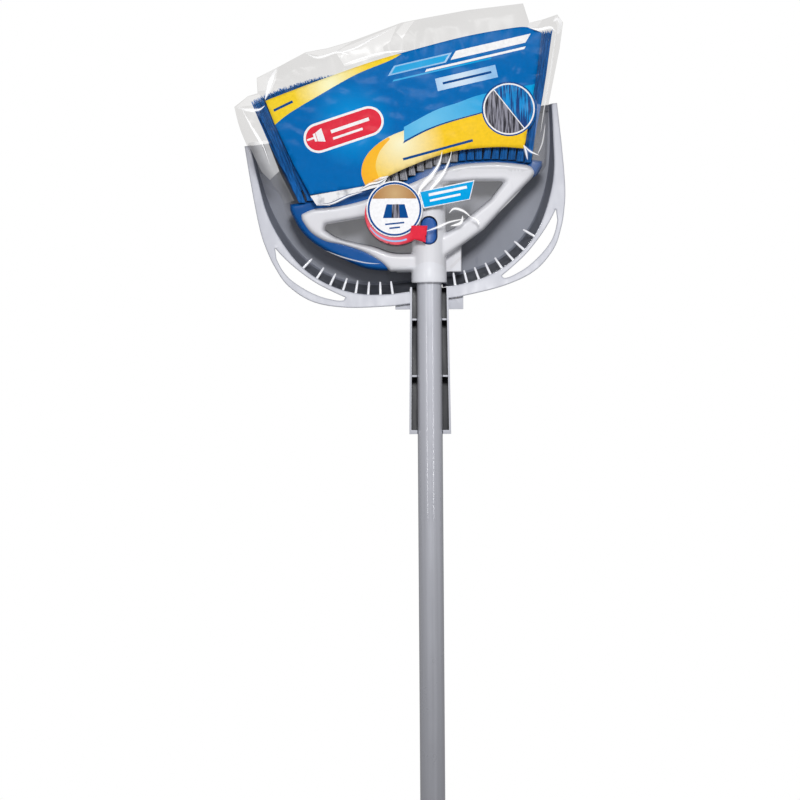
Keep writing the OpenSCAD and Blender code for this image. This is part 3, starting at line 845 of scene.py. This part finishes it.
def make_bristles():
    edges = (0.0, 0.364, 0.684, 1.0)
    fans = (("left_bristles", "blue", 10), ("middle_bristles", "grey", 9), ("right_bristles", "blue", 9))
    for i, (node, tone, columns) in enumerate(fans):
        core = fan_core(edges[i], edges[i + 1])
        parts = [core, strands(edges[i], edges[i + 1], columns, 6, 32, 11 + i)]
        made = joined_object(node + "_tufts", parts, [look["bristle_" + tone], look["core_" + tone]])
        index = np.zeros(len(made.data.polygons), np.int32)
        # The core takes the dark core material: painted shade between the tufts.
        index[:len(core[1])] = 1
        made.data.polygons.foreach_set("material_index", index)
        finish_piece(made, "head", node, slot=tone + "_bristle", crisp=50)


# ---------- packaging ----------

sleeve_top = smooth([[-153.9, 172.9], [-120, 185.5], [-85.5, 198], [-50, 210], [-8, 221.5], [36, 232.5],
                     [79.5, 240], [95, 240.5], [107.8, 235.4]])
sleeve_low = smooth([[90, 126], [66, 127.5], [32, 125], [7, 119], [-22, 108], [-60, 92], [-112, 83.5]])
BADGE = (76.5, 163.5)
BADGE_R = 23.0
sleeve_outline = joined(sleeve_top, [[103.7, 202]], disc(BADGE, BADGE_R + 3.2, 18, 29, -49), [[92, 133]],
                        sleeve_low, [[-127, 111], [-145, 150]])


def badge_half(start):
    """Half of the badge's disc, from an angle on the line that splits it."""
    return disc(BADGE, BADGE_R, 40, start, start + 179.999)


def title_stripes():
    """Plain stripes in place of the printed name: white to the right, outlined in cyan to the left."""
    rise = 0.225
    middle = 204.8
    rows = (("pale", -35, 20, 3.2, 9.6), ("cyan", -32.6, 17.6, 3.2, 6.6), ("paper", 24, 95, 4.2, 8.6),
            ("paper", -2, 92, -4.2, 2.6), ("cyan", -33, 60, -6.6, 1.8))
    out = []
    for paint, start, end, offset, thick in rows:
        low, high = middle + rise * start + offset, middle + rise * end + offset
        lean = thick * 0.3
        out.append((paint, np.array([[start - lean, low - thick / 2], [end - lean, high - thick / 2],
                                     [end + lean, high + thick / 2], [start + lean, low + thick / 2]])))
    return out


def turned(shape, angle, centre):
    """A shape turned about its own origin and moved to a centre."""
    c, s = math.cos(angle), math.sin(angle)
    return np.array(shape) @ np.array([[c, s], [-s, c]]) + np.array(centre)


def brush_sign(centre, size, tilt):
    """A generic brush: a handle bar and a flared block of bristles."""
    shapes = [[(-0.1, 0.25), (0.1, 0.25), (0.1, 1.0), (-0.1, 1.0)],
              [(-0.45, 0.0), (0.45, 0.0), (0.4, 0.25), (-0.4, 0.25)],
              [(-0.75, -0.8), (0.75, -0.8), (0.48, -0.06), (-0.48, -0.06)]]
    return [turned(np.array(shape) * size, tilt, centre) for shape in shapes]


def print_layers():
    """The printed areas from the lowest layer up: (material name, outline)."""
    swoosh = joined(smooth([[-59, 90], [-63.5, 103], [-60.5, 117], [-50, 129.5], [-33, 140], [-2.4, 150],
                            [28, 157.5], [58, 164]]),
                    [[95, 158], [93.5, 138], [90, 120], [60, 115], [0, 105]])
    ribbon = joined(smooth([[-23, 147], [6.3, 162.4], [28, 169.6], [52, 177.7], [102, 187]]),
                    smooth([[101, 173], [52, 161], [19.4, 152.2], [-2.4, 144.5], [-23, 134]]))
    underline = joined(smooth([[-23, 134], [-2.4, 144.5], [19.4, 152.2], [52, 161]]),
                       smooth([[52, 159.8], [19.4, 150.8], [-2.4, 142.8], [-24, 131.5]]))
    banner = joined([[-156, 176]], smooth([[-145, 150], [-131, 161], [-103, 177.5], [-68, 197], [-37, 209.5],
                                           [-25, 216]]), [[-60, 214], [-120, 196]])
    lean = math.radians(-72)
    border, lozenge = (turned(oval((0, 0), 24, 74, grow), lean, (-80, 145)) for grow in (2.2, 0))
    amber = joined(smooth([[-59, 90], [-63.5, 103], [-60.5, 117], [-50, 129.5], [-38, 137.4]]),
                   smooth([[-36, 136], [-46, 124], [-50, 110], [-46, 97]]))
    layers = [("banner", banner), ("yellow", swoosh), ("amber", amber), ("cyan", ribbon), ("navy", underline),
              ("pale", bar((8, 186.5), (65, 199.5), 12)), ("navy", bar((14, 188), (60, 198.5), 2.2)),
              ("paper", border), ("red", lozenge)]
    layers += [("paper", shape) for shape in brush_sign((-106, 138), 9.0, lean + math.pi)]
    layers += [("paper", bar((-92, 143), (-56, 155), 3.2)), ("paper", bar((-90, 136.5), (-62, 145.8), 2.2))]
    layers += title_stripes()
    layers += [("navy", bar((-24, 116.5), (42, 134), 2.4)), ("navy", disc(BADGE, BADGE_R + 2.8)),
               ("paper", disc(BADGE, BADGE_R + 1.4)), ("badge_grey", badge_half(128)),
               ("badge_blue", badge_half(308)), ("paper", bar((62.3, 181.7), (90.7, 145.3), 0.9)),
               ("navy", bar((-146, 163.5), (-128, 172), 2.4))]
    return layers


CARD = 0.6


def sleeve_front(x, z):
    """The front of the card: it swells over the bristles and dips towards its ends."""
    swell = 1.6 * np.cos(np.clip((x + 22) / 140, -1, 1) * math.pi / 2)
    ripple = 0.35 * np.sin(x / 17 + z / 40) + 0.25 * np.sin(z / 11 - x / 50)
    return SLEEVE_FRONT + 1.9 - swell + ripple


def edge_pairs(triangles):
    """The edges that only one triangle uses, as pairs against that triangle's order."""
    edges = dict.fromkeys((t[k], t[(k + 1) % 3]) for t in triangles.tolist() for k in range(3))
    return [(b, a) for a, b in edges if (b, a) not in edges]


def printed(outline, layers, names, gap, cell):
    """A region cut along its printed areas: (points, triangles, each triangle's place in names)."""
    flat, triangles, _ = region([outline], gap, cell, extra=[shape for _, shape in layers])
    middle = flat[triangles].mean(1)
    index = np.zeros(len(triangles), int)
    for name, shape in layers:
        index[inside(middle, [shape])] = names.index(name)
    return flat, triangles, index


def card_object(name, flat, triangles, depths, names, front_index, back_index, edge_index):
    """A thin card between its front and back depths."""
    x, z = flat.T
    n = len(flat)
    points = np.concatenate([np.stack([x, np.broadcast_to(y, n), z], 1) for y in depths])
    sides = [(a, b, b + n, a + n) for a, b in edge_pairs(triangles)]
    faces = [*triangles.tolist(), *(triangles[:, ::-1] + n).tolist(), *sides]
    indices = [*front_index, *back_index, *([edge_index] * len(sides))]
    return make_object(name, points, faces, [look[k] for k in names], indices=indices)


def make_sleeve():
    """The card's front, and a rear that repeats the plain swooshes. Their inner sides are bare card."""
    layers = print_layers()
    names = ["card_blue", "card_back"] + sorted({name for name, _ in layers})
    flat, triangles, index = printed(sleeve_outline, layers, names, 2.2, 4.0)
    front = sleeve_front(*flat.T)
    bare = [1] * len(triangles)
    front_card = card_object("printed_front", flat, triangles, (front, front + CARD), names, index, bare, 1)
    finish_piece(front_card, "head", "printed_sleeve", slot="sleeve_card")
    swooshes = [names.index(name) for name in ("banner", "yellow", "amber", "cyan")]
    rear = np.where(np.isin(index, swooshes) & (flat[triangles].mean(1)[:, 1] < 190), index, 0)
    rear_card = card_object("printed_rear", flat, triangles, (-front - CARD, -front), names, bare, rear, 1)
    finish_piece(rear_card, "head", slot="sleeve_card")


bag_top = np.array([[-184, 168.5], [-171, 178.7], [-161.8, 181.3], [-162.5, 195.9], [-143.6, 205.3],
                    [-116.2, 219.9], [-95, 223.7], [-69.7, 231], [-25, 247.4], [0, 252.2],
                    [38, 258.9], [91, 265]])
bag_right = np.array([[96.9, 246.5], [109.2, 249.4], [123.5, 254.2], [129, 246.5], [125.4, 221.4], [115, 171],
                      [113, 127], [112, 111], [102, 95]])
bag_left = smooth([[-41, 8], [-62, 11], [-86, 20], [-108, 33], [-124, 47], [-135, 66], [-141, 84],
                   [-157, 100], [-177, 143], [-184, 168.5]])
bag_outline = joined(bag_top, bag_right, [[41, 33], [20, 12], [-20, 12]], bag_left[:-1])
BAG_DEPTH = np.array([[12, 18.9], [60, 20.6], [84, 21.9], [108, 22.6], [128, 24.4], [215, 24.6], [243, 22.5],
                      [262, 8], [268, 3]])


# Film that hangs slack in front of the tray; its white haze is painted sheen, which also lightens the shaded
# tray behind it
VEILS = (
    ("veil", [[-171, 133], [-152, 135], [-141, 106], [-150, 98], [-158, 106]]),
    ("window", [[-141, 106], [-127, 78], [-136, 76], [-150, 98]]),
    ("window", [[103, 168], [111, 165], [110, 114], [101, 100], [97, 108], [101, 140]]),
)
# Facets of the film that show brighter: painted reflection as white haze
FOLDS = (
    [[-80.1, 222.5], [-28.5, 244.5], [-35.4, 227.6], [-42.3, 222.5], [-40.6, 215.7], [-78.4, 204.4],
     [-86.9, 217.4]],
    [[-162, 195], [-145, 204.5], [-153, 182], [-160.8, 183]],
    [[-116, 219], [-100, 214], [-88, 218], [-72, 229.5], [-95, 223]],
    [[-183, 167], [-171, 178], [-160, 180], [-156, 172], [-168, 168]],
    [[-22, 247], [-12, 249], [-24, 230], [-30, 236]],
    [[96, 246], [109, 249], [104, 241], [95, 240]],
)
# The bunched edge of the film along the card's lower left side; its white haze is a painted highlight
HEM = [[-112, 82.5], [-62, 91], [-46, 99.5], [-38, 101], [-43, 92], [-70, 84.5], [-94, 73], [-106, 73.5]]
# Painted highlights along sharp folds, white streaks: a line and its width at the middle
CREASES = (
    ([[-143, 205], [-148, 192], [-154, 173]], 3.6),
    ([[-183, 168], [-172, 164], [-160, 164], [-154, 168]], 1.6),
    ([[-116, 219], [-104, 213], [-86, 218], [-74, 215]], 1.5),
    ([[-86, 217], [-70, 221], [-50, 232], [-32, 242]], 1.2),
    ([[-80, 206], [-62, 212], [-42, 217], [-20, 219]], 1.2),
    ([[119, 246], [124, 249], [126, 244], [123, 234]], 4.0),
    ([[122, 240], [117, 205], [110, 165], [106, 140]], 1.1),
    ([[94, 241], [104, 238], [116, 240], [121, 236]], 1.4),
    ([[90, 129], [92, 123], [93.5, 115]], 1.6),
    ([[90, 129], [96, 123], [105, 119]], 1.3),
    ([[103, 120], [108, 132], [111, 150]], 1.2),
    ([[-176, 165], [-165, 144], [-156, 128]], 0.9),
    ([[-168, 150], [-157, 132], [-150, 112]], 1.0),
    ([[-10, 76], [-8, 88], [2, 100], [10, 112], [13, 124]], 2.2),
    ([[-8, 74], [2, 88], [12, 100], [19, 113], [22, 124]], 1.5),
    ([[-4, 48], [8, 52], [20, 57], [35, 60]], 1.8),
    ([[19, 65], [24, 69.5], [33, 67], [40, 61]], 2.2),
    ([[20, 53], [30, 56], [32, 63]], 2.4),
    ([[39, 62], [46, 58], [47, 54]], 1.4),
    ([[66, 66], [76, 76], [88, 88]], 0.8),
    ([[-106, 74], [-92, 75], [-76, 82], [-62, 86]], 1.4),
    ([[-66, 87], [-56, 93], [-47, 95], [-38, 100]], 1.8),
    ([[-98, 31], [-80, 24], [-60, 19], [-46, 18]], 0.8),
)


def streak(points, width):
    """A ribbon along a curve, tapered to both ends."""
    line = smooth(points, 5)
    ahead = np.gradient(line, axis=0)
    side = np.stack([-ahead[:, 1], ahead[:, 0]], 1) / np.linalg.norm(ahead, axis=1)[:, None]
    wide = width / 2 * np.sin(np.linspace(0, math.pi, len(line)))[:, None]
    return np.concatenate([line + side * wide, (line - side * wide)[-2:0:-1]])


def crinkle(x, z, side):
    """Loose film: long soft folds with sharp ridges, larger towards the free top."""
    out = np.zeros(len(x))
    for i, (a, b) in enumerate(zip(x, z)):
        p = Vector((a * 0.021, b * 0.03, side * 7.3))
        warp = noise.noise(p * 0.9 + Vector((3.1, 1.7, 0))) * 1.4
        ridge = 1 - abs(noise.noise(Vector((p.x + warp, p.y * 0.7 - warp, p.z)) * 1.7)) * 2
        fine = 1 - abs(noise.noise(Vector((p.x * 2.6 - warp, p.y * 3.4 + warp, p.z + 5)))) * 2
        out[i] = 1.1 * ridge + 0.55 * fine
    return out


def make_bag():
    def face(side):
        def depth(x, z):
            base = np.interp(z, BAG_DEPTH[:, 0], BAG_DEPTH[:, 1])
            loose = 0.5 + 0.9 * np.clip((z - 90) / 120, 0, 1)
            reach = base + loose * (crinkle(x, z, side) - 0.6)
            return side * np.clip(reach, np.where(z > 78, 21.1, 0), np.where(z < 100, 22.3, 99))
        return depth

    def mouth(x, z):
        return (np.abs(x) < 20.5) & (z < 12.6)
    kinds = ["film", "free", "window", "veil", "fold", "hem", "soft", "crease"]
    # Haze over the frame's windows: painted light on the shaded tray behind them
    shapes = [("window", left_window), ("window", right_window), *VEILS]
    shapes += [("fold", fold) for fold in FOLDS]
    shapes += [("hem", HEM)]
    # Painted highlights: white streaks along the creases, a wide soft one under a sharp one
    shapes += [("soft", streak(line, width * 2.2)) for line, width in CREASES]
    shapes += [("crease", streak(line, width)) for line, width in CREASES]
    shapes = [(kind, np.array(shape, float)) for kind, shape in shapes]
    points, faces = pillow_mesh([bag_outline], face(-1), face(1), 11, 2.4, 3.2, mouth, pinched,
                                [sleeve_outline, *(outline for _, outline in shapes)])
    middle = points[np.array(faces)].mean(1)
    flat, in_front = middle[:, (0, 2)], middle[:, 1] < 0
    index = np.where(inside(flat, [sleeve_outline]) | (flat[:, 1] < 105), 0, 1)
    for kind, outline in shapes:
        index[inside(flat, [outline]) & in_front] = kinds.index(kind)
    made = make_object("clear_bag", points, faces, [look[k] for k in kinds], indices=index)
    finish_piece(made, "head", "film_bag", slot="clear_film")


TAG = (-32.4, 69.4)
TAG_R = 26.6


def paper_piece(name, outline, layers, names, y, thickness=0.45):
    """A flat printed paper shape, facing the front."""
    flat, triangles, index = printed(outline, layers, names, 1.2, 3.0)
    return card_object(name, flat, triangles, (y, y + thickness), names, index, [0] * len(triangles), 0)


def make_tag():
    """A round tag that shows a plain brush head. Two bars stand for its lines of text."""
    tray = (TAG[0] + 1, TAG[1] + 1.5)
    layers = [("navy", disc(TAG, TAG_R - 1.2)), ("paper", disc(TAG, TAG_R - 3.0)),
              ("tan", disc(TAG, TAG_R - 3.4, 40, 25, 155)),
              ("paper", bar((tray[0] - 10, tray[1] + 5.5), (tray[0] + 10, tray[1] + 5.5), 6.0)),
              ("navy", np.array([[-12, -10], [12, -10], [8.5, 3], [-8.5, 3]]) + tray),
              ("badge_grey", np.array([[-4, -10], [4, -10], [3.2, 3], [-3.2, 3]]) + tray),
              ("navy", bar((TAG[0] - 9, TAG[1] - 14.5), (TAG[0] + 9, TAG[1] - 12.8), 1.5)),
              ("navy", bar((TAG[0] - 5, TAG[1] - 18.2), (TAG[0] + 5, TAG[1] - 17.2), 1.5))]
    names = ["paper", "navy", "tan", "badge_grey"]
    tag = paper_piece("paper_tag", disc(TAG, TAG_R), layers, names, TAG_FRONT)
    finish_piece(tag, "head", "round_tag", slot="tag_paper")


def make_ribbon():
    outline = np.array([[-9, 85.5], [43.3, 96.5], [39, 78], [-5, 69.5]], float)
    centre = outline.mean(0)
    inner = (outline - centre) * np.array([0.965, 0.9]) + centre
    layers = [("cyan", inner), ("paper", bar((0, 82.5), (36, 89.8), 2.6)),
              ("paper", bar((1, 77.0), (30, 82.9), 2.0))]
    ribbon = paper_piece("paper_ribbon", outline, layers, ["paper", "cyan"], TAG_FRONT + 0.5)
    finish_piece(ribbon, "head", "tag_ribbon", slot="ribbon_paper")


def make_arrow():
    """A crescent under the tag that widens into an arrow towards the button."""
    inner, width = TAG_R + 0.3, 7.5
    first, last, count = 172, 303, 36
    near, far = disc(TAG, inner, count, first, last), disc(TAG, inner + width, count, first, last)
    taper = np.sin(np.linspace(0.02, math.pi * 0.5, count))[:, None]
    far = near + (far - near) * taper
    head = np.array([[-16.5, 53.6], [-1.4, 53.4], [-3.4, 37.6]])
    outline = joined(near, head, far[::-1])
    stripe = joined((near + (far - near) * 0.4)[12:-3], (near + (far - near) * 0.62)[12:-3][::-1])
    arrow = paper_piece("paper_arrow", outline, [("pale", stripe)], ["red", "pale"], TAG_FRONT - 0.4, 0.3)
    finish_piece(arrow, "head", "tag_arrow", slot="arrow_paper")


# ---------- dustpan ----------

rim_out_half = [[151, PAN_H], [149.5, 133], [147, 95], [143, 74], [137.5, 57], [127.5, 38], [106, 19.5],
                [74, 9.5], [33, 5.2]]
rim_in_half = [[145.8, PAN_H], [143, 148], [139, 114], [131, 88], [118, 62.5], [102, 43.5], [80, 28.5],
               [57, 20], [33, 16.6]]
floor_half = [[143, PAN_H], [140.5, 150], [135.5, 121], [127, 95], [113, 69.5], [96, 51.5], [76, 38.5],
              [53, 32], [31, 29]]


def both_sides(half, steps=6):
    """The whole outline from the right end of the lip to the left end."""
    line = smooth(half, steps)
    return np.concatenate([line, line[::-1] * (-1, 1)])


def tray_section(rim, floor, wall):
    """Rings from the rim down to the floor, curved into it."""
    rings = []
    corner = rim + (floor - rim) * 0.8
    start_y, floor_y = rim_y(rim[:, 1]) + 0.4, FLOOR_Y + wall
    for t in np.linspace(0, 1, 10):
        flat = (1 - t) ** 2 * rim + 2 * t * (1 - t) * corner + t * t * floor
        y = (1 - t) ** 2 * start_y + 2 * t * (1 - t) * (floor_y - 1) + t * t * floor_y
        y = np.minimum(y, floor_y)
        rings.append(np.stack([flat[:, 0], y, flat[:, 1]], 1))
    return rings


def make_tray():
    rim, floor = both_sides(rim_in_half), both_sides(floor_half)
    wall = 2.0
    centre = np.array([0.0, 110.0])
    out_side = (rim - centre) / np.linalg.norm(rim - centre, axis=1)[:, None] * wall
    out_side[:, 1] *= (rim[:, 1] < 150)
    inner = tray_section(rim, floor, 0)
    outer = tray_section(rim + out_side, floor + out_side, wall)
    count = len(rim)
    points = np.concatenate([*inner, *outer])
    faces = []
    levels = len(inner)
    for k in range(levels - 1):
        for i in range(count - 1):
            a, b = k * count + i, (k + 1) * count + i
            faces.append((a, b, b + 1, a + 1))
            a, b = a + levels * count, b + levels * count
            faces.append((a, a + 1, b + 1, b))
    shift = levels * count
    for i in range(count - 1):
        faces.append((i, i + 1, i + 1 + shift, i + shift))
    for k in range(levels - 1):
        for i in (0, count - 1):
            a, b = k * count + i, (k + 1) * count + i
            quad = (a, a + shift, b + shift, b)
            faces.append(quad if i == 0 else quad[::-1])
    for base, turned in ((0, False), (shift, True)):
        ring = [base + (levels - 1) * count + i for i in range(count)]
        faces.append(tuple(ring[::-1] if not turned else ring))
    first, last = (levels - 1) * count, levels * count - 1
    faces.append((first, first + shift, last + shift, last))
    indices = [0] * len(faces)
    # The first six rings down from the rim take the wall material, which paints shade along the comb.
    indices[:12 * (count - 1):2] = [1] * (6 * (count - 1))
    made = make_object("grey_tray", points, faces, [look["tray"], look["wall"]], on_pan, indices)
    room = (("handle_room", 18.4, 18, -4), ("pole_room", 12.7, 18, 6))
    notches = [make_object(name, *box_mesh((-x, -60, -60), (x, y, z)), []) for name, x, y, z in room]
    hub_room = make_object("hub_room", *box_mesh((-17.4, -60, -0.5), (17.4, 17.6, 30)), [])
    cut(made, *notches, hub_room)
    tidy_normals(made)
    finish_piece(made, "dustpan", "pan_tray", slot="tray_grey", crisp=40)


def tidy_normals(made):
    work = bmesh.new()
    work.from_mesh(made.data)
    bmesh.ops.remove_doubles(work, verts=work.verts, dist=1e-6)
    bmesh.ops.recalc_face_normals(work, faces=work.faces)
    for face in work.faces:
        face.smooth = True
    work.to_mesh(made.data)
    work.free()


slot_loop = joined(smooth([[135, 75.5], [127, 64], [116, 51.3], [102, 38], [88, 27.8], [75, 19.5]]),
                   smooth([[77, 17], [84, 18], [99, 24], [113, 33.3], [124.5, 44], [131, 54], [135, 65]]))


def make_rim():
    outline = joined(both_sides(rim_out_half), both_sides(rim_in_half)[::-1])
    holes = [slot_loop, slot_loop * (-1, 1)]
    points, faces = pillow_mesh([outline, *holes], lambda x, v: rim_y(v), lambda x, v: rim_y(v) + 2.6,
                                1.2, 1.8, 4.0)
    made = make_object("light_rim", points, faces, [look["rim"]], on_pan)
    cut(made, make_object("notch", *box_mesh((-18.2, -60, -60), (18.2, 18, 6)), []))
    finish_piece(made, "dustpan", "pan_rim", slot="rim_grey", crisp=50)


# A tooth: distance from the rim's edge, half width and thickness
TOOTH = ((-1.0, 1.2, 1.5), (4, 1.1, 1.4), (9, 1.0, 1.2), (11.8, 0.8, 0.9), (12.3, 0.4, 0.4))


def make_teeth():
    """Thin round-tipped teeth, square to the rim's inner edge."""
    edge = both_sides(rim_in_half)
    right = edge[: len(edge) // 2]
    parts = []
    for i in range(8):
        u = 30 + (111 - 30) * i / 7
        k = int(np.argmax(right[:, 0] < u)) if (right[:, 0] < u).any() else len(right) - 1
        a, b = right[k - 1], right[k]
        if u < 33:
            root, ahead = np.array([u, right[-1][1]]), np.array([1.0, 0.0])
        else:
            root = b + (a - b) * (u - b[0]) / (a[0] - b[0])
            ahead = (a - b) / np.linalg.norm(a - b)
        out = np.array([-ahead[1], ahead[0]])
        for mirror in (1, -1):
            rings = []
            for reach, half, thick in TOOTH:
                c = root + out * reach
                top = rim_y(c[1]) + 0.5
                ring = [(c[0] + ahead[0] * s * half, top + t, c[1] + ahead[1] * s * half)
                        for s, t in ((-1, 0.3), (-0.6, 0), (0.6, 0), (1, 0.3), (1, thick), (-1, thick))]
                rings.append(np.array(ring) * (mirror, 1, 1))
            parts.append(ring_loft(rings))
    # The teeth take the frame white, lighter than the rim grey they are moulded in: a painted highlight on
    # their lit edges.
    made = joined_object("comb_row", parts, [look["white"]], on_pan)
    tidy_normals(made)
    finish_piece(made, "dustpan", "comb_teeth", slot="rim_grey", crisp=50)


def make_lip():
    section = [(FLOOR_Y - 1.6, 170.5), (FLOOR_Y - 2.0, 172), (FLOOR_Y - 1.2, 174), (FLOOR_Y + 0.2, 176.6),
               (FLOOR_Y + 0.8, 177), (FLOOR_Y + 1.4, 176.6), (FLOOR_Y + 2.2, 174), (FLOOR_Y + 2.3, 171),
               (FLOOR_Y + 0.6, 170.2)]
    rings = [np.array([(u, y, v) for y, v in section], float) for u in np.linspace(-142, 142, 48)]
    made = make_object("soft_lip", *ring_loft(rings), [look["rubber"]], on_pan)
    tidy_normals(made)
    finish_piece(made, "dustpan", "pan_lip", slot="lip_rubber", crisp=50)


def make_small_parts():
    """CAD nodes whose shape is right, with their edges rounded."""
    parts = (("handle_channel", "rim", 0.6, "dustpan", "rim_grey"),
             ("clip_ribs", "rim", 0.3, "dustpan", "rim_grey"),
             ("handle_rivets", "steel", 0.3, "dustpan", "bright_steel"),
             ("shell_screws", "steel", 0.3, "head", "bright_steel"),
             ("block_screws", "steel", 0.3, "head", "bright_steel"),
             ("pole_end_cap", "cap", 0.8, "pole", "dark_plastic"))
    for node, paint, width, body, slot in parts:
        made = softened(node, look[paint], width)
        if node == "handle_channel":
            shade_inside(made)
        finish_piece(made, body, node, slot=slot, crisp=30)


def shade_inside(channel):
    """The inner faces of the handle channel take a darker material: painted shade for the deep channel that
    the pole shadows.
    """
    channel.data.materials.append(look["handle_shade"])
    for face in channel.data.polygons:
        x, y, z = face.center / MM
        if abs(x) < 17.6 and y > -3.4 and y < 15.5 and z > HUB_Z - 140 and z < HUB_Z - 1:
            face.material_index = 1


def dress_cad(node, paint):
    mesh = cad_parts[node].data
    mesh.materials.clear()
    mesh.materials.append(look[paint])


for make in (make_camera, make_studio, make_head_frame, make_back_shell, make_button, make_block,
             make_bristles, make_sleeve, make_bag, make_tag, make_ribbon, make_arrow, make_tray, make_rim,
             make_teeth, make_lip, make_small_parts):
    make()
for node, paint in (("pole_tube", "pole"), ("pole_plug", "plug"), ("plug_rivet", "steel"),
                    ("button_spring", "steel")):
    dress_cad(node, paint)
